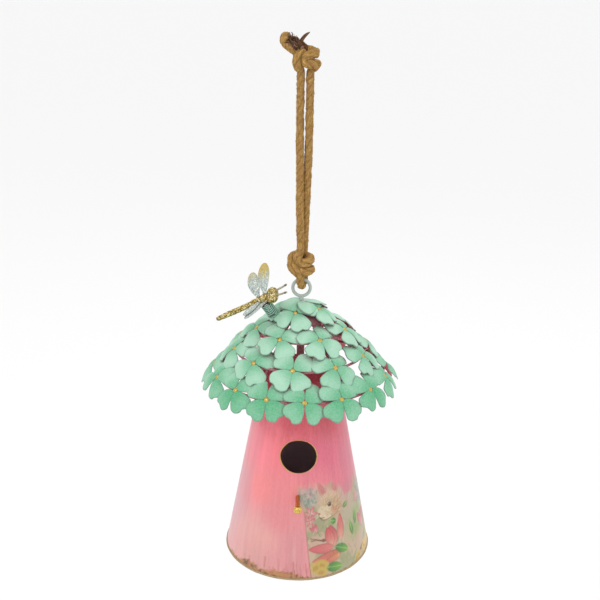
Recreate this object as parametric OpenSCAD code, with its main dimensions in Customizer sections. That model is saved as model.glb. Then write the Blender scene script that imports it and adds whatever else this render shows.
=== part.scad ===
// Hanging flower-roof birdhouse: a tapered sheet-metal house under a canopy of stamped flowers,
// hung by a steel eye on a knotted jute rope, with a dragonfly on a coil spring.
// Axes: +Z up, the entrance faces -Y. Origin: where the rope loop sits on its hook,
// just under the upper knot. Heights named h are measured from the foot of the house.

/* [House] */
// Diameter of the foot of the tapered house
base_d = 140; // [120:1:160]
// Height of the tapered wall
wall_h = 181; // [170:1:190]
// How much the wall's radius shrinks per millimetre of height
taper = 0.187; // [0.15:0.001:0.2]
// Thickness of the sheet metal
sheet_t = 0.9; // [0.6:0.1:1.2]
// Width of the entrance hole, which is a little oval
entrance_w = 34.5; // [31:0.5:36]
// Height of the entrance hole from edge to edge
entrance_d = 31; // [28:0.5:31]
// Height of the entrance hole's centre above the foot
entrance_h = 118; // [110:1:125]
// Height of the perch above the foot
perch_h = 80; // [75:1:90]
// Diameter of the perch peg
perch_d = 4.4; // [3.5:0.1:6]
// How far the perch ball's centre stands out from the wall
perch_reach = 21; // [15:1:28]
// Diameter of the perch ball
perch_ball_d = 7.8; // [6:0.1:10]

/* [Inner roof] */
// Radius of the inner roof's rolled rim
lid_r = 42; // [40:1:48]
// Height of the inner roof's rolled rim above the foot
lid_rim_h = 175; // [172:1:177]

/* [Canopy] */
// Height of the canopy's peak above the foot
peak_h = 256; // [250:1:262]
// Radius of the canopy's curved profile
dome_bend = 260; // [240:5:300]
// Slope of the canopy at its peak, in degrees
dome_start = 29; // [26:1:32]
// Distance from a flower's centre to the tip of its petals
petal_l = 18.6; // [16:0.1:19]
// Thickness of a stamped flower
petal_t = 0.8; // [0.5:0.1:1]
// How far each flower leans out at its lower edge, in degrees
shingle = 5; // [4:0.5:8]
// Diameter of the frame's wires
wire_d = 2.4; // [2:0.1:3]
// Number of ribs in the frame
ribs = 6; // [4:1:8]
// Diameter of a flower's rivet head
bead_d = 4.9; // [3.8:0.1:5.2]

/* [Hanger] */
// Outer diameter of the hanging eye
eye_d = 18.9; // [18:0.1:20]
// Diameter of the eye's wire
eye_wire = 3; // [2.4:0.1:3.2]
// Diameter of the central rod
rod_d = 4; // [3:0.5:5]

/* [Rope] */
// Diameter of the jute rope
rope_d = 6.8; // [6:0.1:7]
// Radius of the two knots
knot_r = 12; // [11:0.5:13]

/* [Floor] */
// Radius of the clean-out hole
clean_r = 18; // [14:1:20]
// Distance of the clean-out cover's pivot from the hole's centre
pivot_gap = 26; // [24:1:30]

/* [Dragonfly] */
// Outer diameter of the coil spring
spring_d = 10.4; // [8:0.1:11]
// Length of the coil spring
spring_l = 13.2; // [12:0.1:16]
// Diameter of the spring's wire
spring_wire = 1.2; // [1:0.1:1.4]
// Number of turns of the spring
spring_turns = 6; // [5:1:7]
// Length of a front wing
wing_l = 30; // [26:1:33]
// Widest part of a front wing
wing_w = 12; // [9:0.5:13]
// Length of the dragonfly's tail
tail_l = 47; // [40:1:50]

/* [Hidden] */
$fn = 48;
hang_drop = 455;                               // height of the hook point above the foot
slack = 0.1;                                   // loose fit of a pin in its own hole
touch = 0.05;                                  // gap left between faces that meet
wall_tilt = atan(taper);
wire_r = wire_d / 2;

function wall_r(h) = base_d / 2 - taper * h;   // outer radius of the wall at a height

// The canopy's profile: an arc that starts at the peak with a slope. s runs down along it.
function slope(s) = dome_start + s / dome_bend * 180 / PI;
arc_r0 = -dome_bend * sin(dome_start);
arc_h0 = peak_h - dome_bend * cos(dome_start);
function dome_r(s, off = 0) = arc_r0 + (dome_bend + off) * sin(slope(s));
function dome_h(s, off = 0) = arc_h0 + (dome_bend + off) * cos(slope(s));

// Flower rows: [distance down the arc, number of flowers, turn of the first one]
crown_row  = [19.5, 4, -17];
upper_row  = [49.5, 7, -27];
middle_row = [77.5, 10, -6];
rim_row    = [106, 15, 3];

hoop_off = -petal_t / 2 - 0.85 - wire_r;       // hoops lie under the flowers' rivets
rib_off = hoop_off - wire_d - touch;           // ribs lie under the hoops
plate_top = rib_off + wire_r + touch + 1;      // the crown plate lies on the ribs
hub_r = 6;
hub_top = 252;
hub_bottom = 247;
eye_h = 265.4;                                 // height of the eye's centre
eye_r = eye_d / 2 - eye_wire / 2;              // radius of the eye's wire circle
rod_bottom = 184;

lid_hub_h = 192;                               // top of the inner roof

seam_turn = 8;                                 // where the picture starts; the seam is behind its far end
paper_top = 96;
paper_off = 0.32;
hem_r = 1.2;                                   // rolled hem at the foot
hem_flat = 0.15;                               // how much of the hem is worn flat
floor_h = 2.5;
floor_t = 1;
hole_x = -20;
pivot_x = hole_x + pivot_gap;
cover_h = 1.5;
cover_t = 0.8;
pivot_r = 1.5;

spring_at = [-66, 29.5];                       // where the spring stands: turn, distance down the arc
seat_off = 4;                                  // the seat lies on the petals
seat_t = 1;
body_lift = 4.6;                               // from the spring's top to the dragonfly's axis

// The rope's route, point by point, from the hook point down
strand_a = [[-3.6, 0, 2], [-3.8, 0, -14], [-3.8, 0, -32], [-3.6, -0.4, -50], [-3.4, -0.8, -68],
            [-3.1, -1.4, -86], [-2.8, -2.2, -104], [-2.4, -2.9, -122], [-2, -3.3, -139],
            [-1.7, -3.4, -154]];
strand_b = [[4.2, 0, 2], [4.4, 0, -14], [4.4, 0, -32], [4.2, 0.4, -50], [4, 0.8, -68],
            [3.6, 1.4, -86], [3.1, 2.2, -104], [2.6, 2.9, -122], [2.2, 3.3, -139],
            [1.8, 3.4, -154]];
bight = [[-1.4, -5.7, -176], [-1.2, -5.8, -181.5], [-0.8, -4.8, -185.4], [0, -2.5, -187.3], [0.4, 0, -187.7],
         [0.8, 2.5, -187.3], [1.6, 4.8, -185.4], [2.2, 5.8, -181.5], [2.8, 5.6, -176]];
tail_a = [[-6.8, -1, 19], [-13, -2.2, 23.4], [-18.4, -3, 28.4], [-13.2, -1.2, 33.6]];
tail_b = [[-1, 0.6, 20.5], [-3.4, 0, 23], [-6.8, -1, 26], [-10.5, -1.4, 29]];

// Puts things at a height above the foot of the house.
module house() {
    translate([0, 0, -hang_drop]) children();
}

// Puts things on the canopy: local y runs up the slope and local z points outwards.
module on_dome(az, s, off = 0) {
    house() rotate([0, 0, az]) translate([0, -dome_r(s), dome_h(s)]) rotate([slope(s), 0, 0])
        translate([0, 0, off]) children();
}

// Repeats things at each flower of a row.
module each_flower(row) {
    for (i = [0 : row[1] - 1]) on_dome(row[2] + i * 360 / row[1], row[0]) rotate([-shingle, 0, 0]) children();
}

// ---- rope ----

function unit(v) = v / norm(v);
// Direction of a route at point i
function along(p, i) = unit(p[min(i + 1, len(p) - 1)] - p[max(i - 1, 0)]);
// One ring of a tube around a route: side is any direction across the route
function ring(p, i, r, n, side) =
    let (d = along(p, i), u = unit(cross(d, side)), v = cross(d, u))
    [for (k = [0 : n - 1]) p[i] + r * (cos(k * 360 / n) * u + sin(k * 360 / n) * v)];

// A closed tube along a route
module tube(p, r, side = [0, 1, 0.02], n = 10) {
    m = len(p);
    polyhedron(
        [for (i = [0 : m - 1]) each ring(p, i, r, n, side)],
        concat([[for (k = [0 : n - 1]) k]], [[for (k = [n - 1 : -1 : 0]) (m - 1) * n + k]],
               [for (i = [0 : m - 2], k = [0 : n - 1])
                   [i * n + k, (i + 1) * n + k, (i + 1) * n + (k + 1) % n, i * n + (k + 1) % n]]));
}

// A rounded closed body for a knot, wider than high or higher than wide
module knot(half_h) {
    rotate_extrude() polygon([for (a = [-90 : 15 : 90]) [knot_r * cos(a), half_h * sin(a)]]);
}

module upper_knot() {
    color("peru") translate([1, 0, 12.6]) knot(12);
}

module rope_tails() {
    color("sienna") {
        tube(tail_a, rope_d / 2);
        tube(tail_b, rope_d / 2);
    }
}

module rope_strands() {
    color("peru") {
        tube(strand_a, rope_d / 2);
        tube(strand_b, rope_d / 2);
    }
}

module lower_knot() {
    color("peru") translate([-1.5, 0, -167]) knot(11.5);
}

module rope_bight() {
    color("peru") tube(bight, rope_d / 2, [1, 0.1, 0]);
}

// ---- hanger ----

// The steel eye, its collar and its threaded rod, welded into one piece
module hanger_rod() {
    color("lightslategray") house() {
        translate([0, 0, eye_h]) rotate([90, 0, 0]) rotate_extrude() translate([eye_r, 0]) circle(eye_wire / 2);
        translate([0, 0, hub_top + touch]) cylinder(h = 1.2, r = 4.5);
        translate([0, 0, rod_bottom]) cylinder(h = eye_h - eye_r - rod_bottom, d = rod_d);
    }
}

module crown_plate() {
    color("seagreen") house() difference() {
        union() {
            rotate_extrude() polygon(concat(
                [for (s = [6 : 5 : 31]) [dome_r(s, plate_top), dome_h(s, plate_top)]],
                [for (s = [31 : -5 : 6]) [dome_r(s, plate_top - 1), dome_h(s, plate_top - 1)]]));
            translate([0, 0, hub_bottom]) cylinder(h = hub_top - hub_bottom, r = hub_r);
        }
        translate([0, 0, hub_bottom - 1]) cylinder(h = hub_top - hub_bottom + 2, d = rod_d + 2 * slack);
    }
}

// The tube that keeps the canopy clear above the inner roof
module spacer_tube() {
    color("seagreen") house() translate([0, 0, lid_hub_h + touch]) difference() {
        cylinder(h = hub_bottom - lid_hub_h - 2 * touch, r = 3.6);
        translate([0, 0, -1]) cylinder(h = hub_bottom - lid_hub_h + 2, d = rod_d + 2 * slack);
    }
}

washer_t = 0.9;
washer_h = lid_hub_h - 2.4;                    // just under the inner roof
module rod_washer() {
    color("silver") house() translate([0, 0, washer_h]) difference() {
        cylinder(h = washer_t, r = 5);
        translate([0, 0, -1]) cylinder(h = 3, d = rod_d + 2 * slack);
    }
}

nut_t = 3.2;
module rod_nut() {
    color("silver") house() translate([0, 0, washer_h - touch * 2 - nut_t]) difference() {
        cylinder(h = nut_t, r = 4.04, $fn = 6);
        translate([0, 0, -1]) cylinder(h = 6, d = rod_d + 2 * slack);
    }
}

// ---- canopy ----

// One rib: a wire bent along the canopy's arc
module rib(s1, s2) {
    translate([0, -arc_r0, arc_h0]) rotate([90, 0, 90]) rotate([0, 0, 90 + slope(s1)])
        rotate_extrude(angle = slope(s2) - slope(s1)) translate([dome_bend + rib_off, 0]) circle(wire_r);
}

module canopy_ribs() {
    color("seagreen") house() for (i = [0 : ribs - 1]) rotate([0, 0, (i + 0.5) * 360 / ribs]) rib(14, 108);
}

// A wire hoop under a row of flowers
module hoop(row) {
    house() translate([0, 0, dome_h(row[0], hoop_off)])
        rotate_extrude() translate([dome_r(row[0], hoop_off), 0]) circle(wire_r);
}

module upper_hoop() {
    color("seagreen") hoop(upper_row);
}

module middle_hoop() {
    color("seagreen") hoop(middle_row);
}

module rim_hoop() {
    color("seagreen") hoop(rim_row);
}

// The outline of a flower: four round petals that run together, each with a shallow notch at its tip
petal_disc = petal_l * 0.44;                   // radius of a petal's round end
notch = 0.9;                                   // depth of the notch at its tip
notch_half = 7;                                // half its width, in degrees seen from the flower's centre
function petal_reach(t) =
    let (u = min(t % 90, 90 - t % 90), c = petal_l - petal_disc)
    c * cos(u) + sqrt(petal_disc * petal_disc - pow(c * sin(u), 2)) - notch * exp(-pow(u / notch_half, 2));
module flower_outline() {
    polygon([for (t = [0 : 6 : 354]) petal_reach(t) * [cos(t + 45), sin(t + 45)]]);
}

// A row of flat stamped flowers. Each keeps to its own sector of the canopy.
module flower_row(row) {
    for (i = [0 : row[1] - 1]) {
        turn = row[2] + i * 360 / row[1];
        intersection() {
            on_dome(turn, row[0]) rotate([-shingle, 0, 0]) difference() {
                translate([0, 0, -petal_t / 2]) linear_extrude(petal_t) flower_outline();
                translate([0, 0, -2]) cylinder(h = 4, r = shank_r + slack);
            }
            sector(turn, row[1]);
        }
    }
}

// A wedge of space around the axis, a little narrower than its share of the circle
module sector(turn, count) {
    reach = 160;
    gap = 0.3;
    inner = hub_r + 1;
    half = 180 / count;
    rotate([0, 0, turn]) translate([0, 0, -hang_drop]) linear_extrude(300)
        polygon([[hub_r * tan(half), -inner], [reach * tan(half) - gap, -reach],
                 [-reach * tan(half) + gap, -reach], [-hub_r * tan(half), -inner]]);
}

module crown_flowers() {
    color("aquamarine") flower_row(crown_row);
}

module upper_flowers() {
    color("aquamarine") flower_row(upper_row);
}

module middle_flowers() {
    color("mediumaquamarine") flower_row(middle_row);
}

module rim_flowers() {
    color("mediumseagreen") flower_row(rim_row);
}

// A rivet: a round head on the flower and a shank down to the frame
shank_r = bead_d / 2 - 1.3;
module rivet(foot) {
    head_r = bead_d / 2;
    rotate_extrude() polygon(concat(
        [[0, foot], [shank_r, foot], [shank_r, petal_t / 2 + touch], [head_r, petal_t / 2 + touch]],
        [for (a = [0 : 15 : 90]) [head_r * cos(a), petal_t / 2 + 0.5 + 1.3 * sin(a)]]));
}

module flower_rivets() {
    color("goldenrod") {
        each_flower(crown_row) rivet(plate_top + 0.3);
        each_flower(upper_row) rivet(hoop_off + wire_r + touch);
        each_flower(middle_row) rivet(hoop_off + wire_r + touch);
        each_flower(rim_row) rivet(hoop_off + wire_r + touch);
    }
}

// ---- house ----

// A solid cone of the wall's taper between two heights, grown outwards by off
module cone(h1, h2, off = 0) {
    translate([0, 0, h1]) cylinder(h = h2 - h1, r1 = wall_r(h1) + off, r2 = wall_r(h2) + off, $fn = 96);
}

// The wall, with its rolled hem, the inner lap of its seam, the entrance and the perch hole
module body_shell() {
    color("hotpink") house() difference() {
        union() {
            difference() {
                cone(0.6, wall_h);
                cone(-1, wall_h + 1, -sheet_t);
            }
            rotate_extrude($fn = 96) intersection() {
                translate([base_d / 2 - 0.4, hem_r - hem_flat]) circle(hem_r, $fn = 24);
                translate([base_d / 2 - 5, 0]) square(10);
            }
            seam_lap();
        }
        translate([0, -wall_r(entrance_h), entrance_h]) rotate([90 - wall_tilt, 0, 0]) entrance();
        translate([0, -wall_r(perch_h) - 10, perch_h]) rotate([-90, 0, 0]) cylinder(h = 30, d = perch_d + 2 * slack);
    }
}

// The oval that cuts the entrance: a slot with round ends
module entrance() {
    stretch = entrance_w - entrance_d;
    for (side = [-1, 1]) translate([side * stretch / 2, 0, 0]) cylinder(h = 40, d = entrance_d, center = true);
    cube([stretch, entrance_d, 40], center = true);
}

// The strip where the sheet's two edges overlap, inside the wall
module seam_lap() {
    lap = 8;
    intersection() {
        difference() {
            cone(4, wall_h - 4, -sheet_t + 0.01);
            cone(3, wall_h - 3, -2 * sheet_t);
        }
        rotate([0, 0, seam_turn + 180]) translate([-lap / 2, -100, 0]) cube([lap, 100, wall_h]);
    }
}

// The printed paper, pasted round the lower wall from the seam
module picture_wrap() {
    color("pink") house() intersection() {
        difference() {
            cone(3, paper_top, paper_off);
            cone(2, paper_top + 1, touch);
        }
        rotate([0, 0, seam_turn]) translate([0, -90, 0]) cube([90, 180, paper_top + 4]);
    }
}

// The rounded roof of the nest box itself, hidden under the flowers
module inner_roof() {
    color("palevioletred") house() difference() {
        union() {
            rotate_extrude($fn = 96) polygon([[0, lid_hub_h - 1], [24, lid_hub_h - 3], [34.5, 184.2],
                [lid_r - 1.6, 177], [lid_r - 0.4, lid_rim_h], [lid_r + 0.6, lid_rim_h], [lid_r - 0.4, 177.6],
                [34.9, 185.4], [24.4, lid_hub_h - 2], [0, lid_hub_h]]);
            translate([0, 0, lid_rim_h]) rotate_extrude($fn = 96) translate([lid_r + 0.4, 0]) circle(1, $fn = 24);
        }
        translate([0, 0, 150]) cylinder(h = 60, d = rod_d + 2 * slack);
    }
}

module floor_plate() {
    color("dimgray") house() translate([0, 0, floor_h]) difference() {
        cylinder(h = floor_t, r = wall_r(floor_h + floor_t) - sheet_t - slack, $fn = 96);
        translate([hole_x, 0, -1]) cylinder(h = 3, r = clean_r);
        translate([pivot_x, 0, -1]) cylinder(h = 3, r = pivot_r + slack);
        for (i = [-1, 1]) translate([38, 30 * i, -1]) cylinder(h = 3, r = 3);
    }
}

module clean_out_cover() {
    color("gray") house() difference() {
        union() {
            translate([hole_x, 0, cover_h]) cylinder(h = cover_t, r = clean_r + 3);
            translate([hole_x, -6, cover_h]) cube([pivot_gap, 12, cover_t]);
            translate([pivot_x, 0, cover_h]) cylinder(h = cover_t, r = 6);
            translate([hole_x - clean_r - 2, -7, 0.5]) cube([1, 14, 1.4]);
        }
        translate([pivot_x, 0, 0]) cylinder(h = 4, r = pivot_r + 0.05);
    }
}

module cover_rivet() {
    color("silver") house() translate([pivot_x, 0, 0]) {
        translate([0, 0, 0.4]) cylinder(h = cover_h - 0.4 - slack, r = 3.4);
        translate([0, 0, 0.5]) cylinder(h = 4.4, r = pivot_r);
        translate([0, 0, floor_h + floor_t + slack]) cylinder(h = 1, r = 3);
    }
}

// ---- perch ----

perch_ball_y = -wall_r(perch_h) - perch_reach;
perch_nut_y = -wall_r(perch_h) + sheet_t + 1.4;

module perch_peg() {
    color("sienna") house() translate([0, perch_ball_y + 1, perch_h]) rotate([-90, 0, 0])
        cylinder(h = perch_nut_y + 4.5 - perch_ball_y - 1, d = perch_d);
}

module perch_ball() {
    color("gold") house() translate([0, perch_ball_y, perch_h]) rotate([-90, 0, 0]) rotate_extrude()
        difference() {
            polygon([for (a = [-90 : 10 : 90]) perch_ball_d / 2 * [cos(a), sin(a)]]);
            translate([-1, 1 - touch]) square([perch_d / 2 + touch + 1, perch_ball_d]);
        }
}

module perch_nut() {
    color("silver") house() translate([0, perch_nut_y, perch_h]) rotate([-90, 0, 0]) difference() {
        cylinder(h = nut_t, r = 4.3, $fn = 6);
        translate([0, 0, -1]) cylinder(h = 6, d = perch_d + 2 * touch);
    }
}

// ---- dragonfly ----

module spring_seat() {
    color("darkgreen") on_dome(spring_at[0], spring_at[1], seat_off) cylinder(h = seat_t, r = spring_d / 2 + 0.4);
}

// One point of the spring's wire
coil_r = (spring_d - spring_wire) / 2;
coil_steps = 16;
function coil_point(i) = [coil_r * cos(i * 360 / coil_steps), coil_r * sin(i * 360 / coil_steps),
    spring_wire / 2 + touch + (spring_l - spring_wire - 2 * touch) * i / (spring_turns * coil_steps)];
module spring() {
    route = [for (i = [0 : spring_turns * coil_steps]) coil_point(i)];
    color("seagreen") on_dome(spring_at[0], spring_at[1], seat_off + seat_t)
        tube(route, spring_wire / 2, [0, 0, 1], 6);
}

// The dragonfly's own frame: x towards its head, z up, at the middle of its thorax
flight = [24, -28, -10];                       // bank, nose up, turn
module dragonfly() {
    n = [sin(slope(spring_at[1])) * sin(spring_at[0]), -sin(slope(spring_at[1])) * cos(spring_at[0]),
         cos(slope(spring_at[1]))];
    foot = [dome_r(spring_at[1]) * sin(spring_at[0]), -dome_r(spring_at[1]) * cos(spring_at[0]),
            dome_h(spring_at[1])];
    house() translate(foot + n * (seat_off + seat_t + spring_l + body_lift)) rotate(flight) children();
}

// A round body along x, from a list of [x, radius]
module turned(profile) {
    rotate([0, 90, 0]) rotate_extrude($fn = 32) polygon(concat([[0, profile[0][0]]],
        [for (p = profile) [p[1], p[0]]], [[0, profile[len(profile) - 1][0]]]));
}

tail_end = -1;                                 // where the tail meets the thorax
head_x = 9.6;                                  // middle of the head
module dragonfly_tail() {
    step = tail_l / 8;
    color("goldenrod") dragonfly() turned([for (i = [0 : 8]) each
        [[tail_end - tail_l + i * step, i == 0 ? 1.5 : 2.2],
         [tail_end - tail_l + (i + 0.5) * step - (i == 8 ? 2.7 : 0), 2.7]]]);
}

module dragonfly_thorax() {
    color("goldenrod") dragonfly() turned([[-0.7, 2.4], [0.8, 3.2], [2.6, 3.8], [4, 3.8], [4.6, 3]]);
}

// The head is mostly its two round eyes, side by side
module dragonfly_head() {
    color("gold") dragonfly() translate([head_x, 0, 0]) rotate([0, 0, 90])
        turned([[-8.4, 1.4], [-7.7, 2.9], [-6, 4.2], [-4, 4.6], [-2, 4.2], [0, 3.7],
                [2, 4.2], [4, 4.6], [6, 4.2], [7.7, 2.9], [8.4, 1.4]]);
}

// A wing's outline: narrower at the root than near the tip
module wing_outline(l, w) {
    polygon([for (t = [0 : 12 : 348])
        let (u = (1 - cos(t)) / 2, side = sin(t) < 0 ? -1 : 1)
        [l * u, side * w / 2 * pow(abs(sin(t)), 0.7) * (0.6 + 0.4 * u)]]);
}

// One wing from a root point: rise lifts its tip, sweep swings it forward
module wing(root, side, rise, sweep, l, w) {
    dragonfly() translate(root) rotate([side * rise, 0, 0]) rotate([0, 0, side * (90 - sweep)])
        translate([0.5, 0, 0]) linear_extrude(0.6) wing_outline(l, w);
}

// The far wings stand up from the back of the thorax. The near ones lie back beside the tail.
hind_share = 0.87;                             // a hind wing's length over a front wing's
module front_wings() {
    color("lightsteelblue") {
        wing([4.2, 2, 3.9], 1, 22, 11, wing_l, wing_w);
        wing([3, -3.8, -1], -1, 24, -32, wing_l, wing_w);
    }
}

module hind_wings() {
    color("lightsteelblue") {
        wing([-2.5, 2, 3.9], 1, 21, -4, wing_l * hind_share, wing_w);
        wing([-2.6, -3, 0.8], -1, 24, -26, wing_l * hind_share, wing_w);
    }
}

module antennae() {
    splay = 10;
    lift = 8;
    antenna_l = 11;
    color("darkkhaki") for (side = [-1, 1]) dragonfly() translate([head_x + 4.8, side * 3.4, 0.8])
        rotate([0, 90 - lift, side * splay]) cylinder(h = antenna_l, d = 1.7);
}

upper_knot();
rope_tails();
rope_strands();
lower_knot();
rope_bight();
hanger_rod();
crown_plate();
spacer_tube();
inner_roof();
rod_washer();
rod_nut();
canopy_ribs();
upper_hoop();
middle_hoop();
rim_hoop();
crown_flowers();
upper_flowers();
middle_flowers();
rim_flowers();
flower_rivets();
body_shell();
picture_wrap();
floor_plate();
clean_out_cover();
cover_rivet();
perch_peg();
perch_ball();
perch_nut();
spring_seat();
spring();
dragonfly_tail();
dragonfly_thorax();
dragonfly_head();
front_wings();
hind_wings();
antennae();
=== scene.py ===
import math

import bpy
import numpy as np
from mathutils import Matrix, Vector


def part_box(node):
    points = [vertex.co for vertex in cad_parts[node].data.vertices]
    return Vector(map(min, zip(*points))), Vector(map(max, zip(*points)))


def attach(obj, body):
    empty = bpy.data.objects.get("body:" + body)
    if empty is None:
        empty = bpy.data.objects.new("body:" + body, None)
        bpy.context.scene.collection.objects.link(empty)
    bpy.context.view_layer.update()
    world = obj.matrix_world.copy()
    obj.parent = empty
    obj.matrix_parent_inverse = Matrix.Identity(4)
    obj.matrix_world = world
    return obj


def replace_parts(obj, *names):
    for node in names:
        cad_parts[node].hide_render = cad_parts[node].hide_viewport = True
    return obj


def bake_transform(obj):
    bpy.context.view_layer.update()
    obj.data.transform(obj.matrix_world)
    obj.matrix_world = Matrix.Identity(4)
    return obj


# The looks of a hanging birdhouse: a painted sheet-metal house under a canopy of stamped flowers,
# hung by a steel eye on a knotted jute rope. Metres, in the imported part's frame: +Z up, the
# entrance faces -Y, the origin is where the rope hangs on its hook. az is the turn about Z in
# degrees from -Y towards +X, and h is the height above the foot.

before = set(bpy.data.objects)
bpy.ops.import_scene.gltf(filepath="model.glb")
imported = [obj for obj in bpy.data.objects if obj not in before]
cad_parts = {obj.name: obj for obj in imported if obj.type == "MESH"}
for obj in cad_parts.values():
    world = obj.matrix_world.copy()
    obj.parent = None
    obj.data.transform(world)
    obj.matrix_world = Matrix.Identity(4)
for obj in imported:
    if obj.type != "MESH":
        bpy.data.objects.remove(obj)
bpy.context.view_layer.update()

MM = 0.001
FOOT_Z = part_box("body_shell")[0].z
WALL_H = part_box("body_shell")[1].z - FOOT_Z
FOOT_R = 0.070
TAPER = 0.187
SHEET = 0.0009
HOLE_W = 0.01725
HOLE_R = 0.0155
HOLE_H = 0.118
PEAK_Z = FOOT_Z + 0.256
DOME_BEND = 0.260
DOME_START = math.radians(29)
ROPE_D = 0.0070


# ---------------------------------------------------------------- helpers

def linear(values):
    """Colours from 0-255 display values to linear ones."""
    v = np.asarray(values, float) / 255
    return np.where(v > 0.04, ((v + 0.055) / 1.055) ** 2.4, v / 12.92)


def srgb(r, g, b):
    """A colour given as 0-255 display values, as a tuple of linear ones."""
    return tuple(linear((r, g, b)).tolist())


def mesh_object(name, verts, faces, *materials, smooth=True):
    """A mesh object from plain arrays, in the given materials."""
    mesh = bpy.data.meshes.new(name)
    mesh.from_pydata([tuple(v) for v in verts], [], [tuple(f) for f in faces])
    mesh.update()
    if smooth:
        mesh.polygons.foreach_set("use_smooth", [True] * len(mesh.polygons))
    for material in materials:
        mesh.materials.append(material)
    obj = bpy.data.objects.new(name, mesh)
    bpy.context.scene.collection.objects.link(obj)
    return obj


def grid_faces(rows, cols, wrap=False, start=0):
    """Quads of a grid of rows by cols points, whose columns may close on themselves."""
    last = cols if wrap else cols - 1
    return [(start + i * cols + j, start + i * cols + (j + 1) % cols,
             start + (i + 1) * cols + (j + 1) % cols, start + (i + 1) * cols + j)
            for i in range(rows - 1) for j in range(last)]


def set_attribute(obj, name, values):
    """Writes a point attribute: a number, or three numbers, for each point."""
    values = np.asarray(values, np.float32)
    if values.ndim == 1:
        obj.data.attributes.new(name, "FLOAT", "POINT").data.foreach_set("value", values)
    else:
        made = obj.data.attributes.new(name, "FLOAT_VECTOR", "POINT")
        made.data.foreach_set("vector", values.ravel())


def polar(x, y, reach, degrees):
    """The point at a reach and a direction from x, y."""
    a = math.radians(degrees)
    return x + reach * math.cos(a), y + reach * math.sin(a)


def turned(degrees, axis):
    """A turn about an axis."""
    return Matrix.Rotation(math.radians(degrees), 4, axis)


def moved(points, matrix):
    """Points, one a row, taken through a matrix."""
    m = np.array(matrix)
    return points @ m[:3, :3].T + m[:3, 3]


def dome_place(az, s, off=0.0):
    """A frame on the canopy: x goes round it, y goes up it, z points out of it."""
    a = DOME_START + s / DOME_BEND
    r = DOME_BEND * (math.sin(a) - math.sin(DOME_START))
    z = PEAK_Z + DOME_BEND * (math.cos(a) - math.cos(DOME_START))
    return (turned(az, "Z") @ Matrix.Translation((0, -r, z))
            @ Matrix.Rotation(a, 4, "X") @ Matrix.Translation((0, 0, off)))


def smoothstep(x, a, b):
    """0 before a, 1 after b and smooth between, for arrays."""
    t = np.clip((x - a) / (b - a), 0, 1)
    return t * t * (3 - 2 * t)


def side_vectors(points, hint=(0.31, 0.17, 0.93), closed=False):
    """Two directions across a line at each of its points, that turn as little as they can."""
    if closed:
        tangent = np.roll(points, -1, 0) - np.roll(points, 1, 0)
    else:
        tangent = np.gradient(points, axis=0)
    tangent /= np.linalg.norm(tangent, axis=1)[:, None]
    u = np.cross(tangent[0], hint)
    us = []
    for t in tangent:
        u = u - t * np.dot(u, t)
        u /= np.linalg.norm(u)
        us.append(u.copy())
    us = np.array(us)
    return us, np.cross(tangent, us)


def end_caps(n, sides, start=0):
    """The two end faces of a tube of n rings."""
    last = start + (n - 1) * sides
    return [tuple(start + j for j in range(sides))[::-1], tuple(last + j for j in range(sides))]


def tube_mesh(points, radius, closed=False, sides=14, start=0):
    """Points and faces of a round wire of given radius, or radii, along points."""
    points = np.array(points, float)
    n = len(points)
    us, vs = side_vectors(points, closed=closed)
    radius = np.broadcast_to(np.asarray(radius, float), (n,))[:, None, None]
    a = np.linspace(0, 2 * math.pi, sides, endpoint=False)[None, :, None]
    ring = points[:, None] + radius * (np.cos(a) * us[:, None] + np.sin(a) * vs[:, None])
    faces = grid_faces(n, sides, wrap=True, start=start)
    if not closed:
        return ring.reshape(-1, 3), faces + end_caps(n, sides, start)
    # the first ring is turned to meet the last one where they fit best
    gap = [np.linalg.norm(ring[-1] - np.roll(ring[0], -k, 0), axis=1).sum() for k in range(sides)]
    k = int(np.argmin(gap))
    last = start + (n - 1) * sides
    faces += [(last + j, last + (j + 1) % sides, start + (j + 1 + k) % sides, start + (j + k) % sides)
              for j in range(sides)]
    return ring.reshape(-1, 3), faces


def tube(name, points, radius, material, closed=False, sides=14):
    """A round wire as a piece, along points in metres."""
    return mesh_object(name, *tube_mesh(points, radius, closed, sides), material)


# ---------------------------------------------------------------- camera

LENS_MM = 59.05
LOOK_DOWN = 19.7
CAMERA_ROLL = 1.0
CAMERA_Y = -0.8467
CAMERA_H = 0.5565


def make_camera():
    """The photograph's viewpoint: in front, above the canopy, looking down."""
    data = bpy.data.cameras.new("camera")
    data.lens = LENS_MM
    data.sensor_width = 36
    data.shift_x = -0.0022
    data.clip_start = 0.01
    data.clip_end = 200
    obj = bpy.data.objects.new("camera", data)
    bpy.context.scene.collection.objects.link(obj)
    place = Matrix.Translation((0, CAMERA_Y, FOOT_Z + CAMERA_H))
    obj.matrix_world = place @ turned(90 - LOOK_DOWN, "X") @ turned(CAMERA_ROLL, "Z")
    bpy.context.scene.camera = obj


make_camera()


# ---------------------------------------------------------------- material nodes

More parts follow.
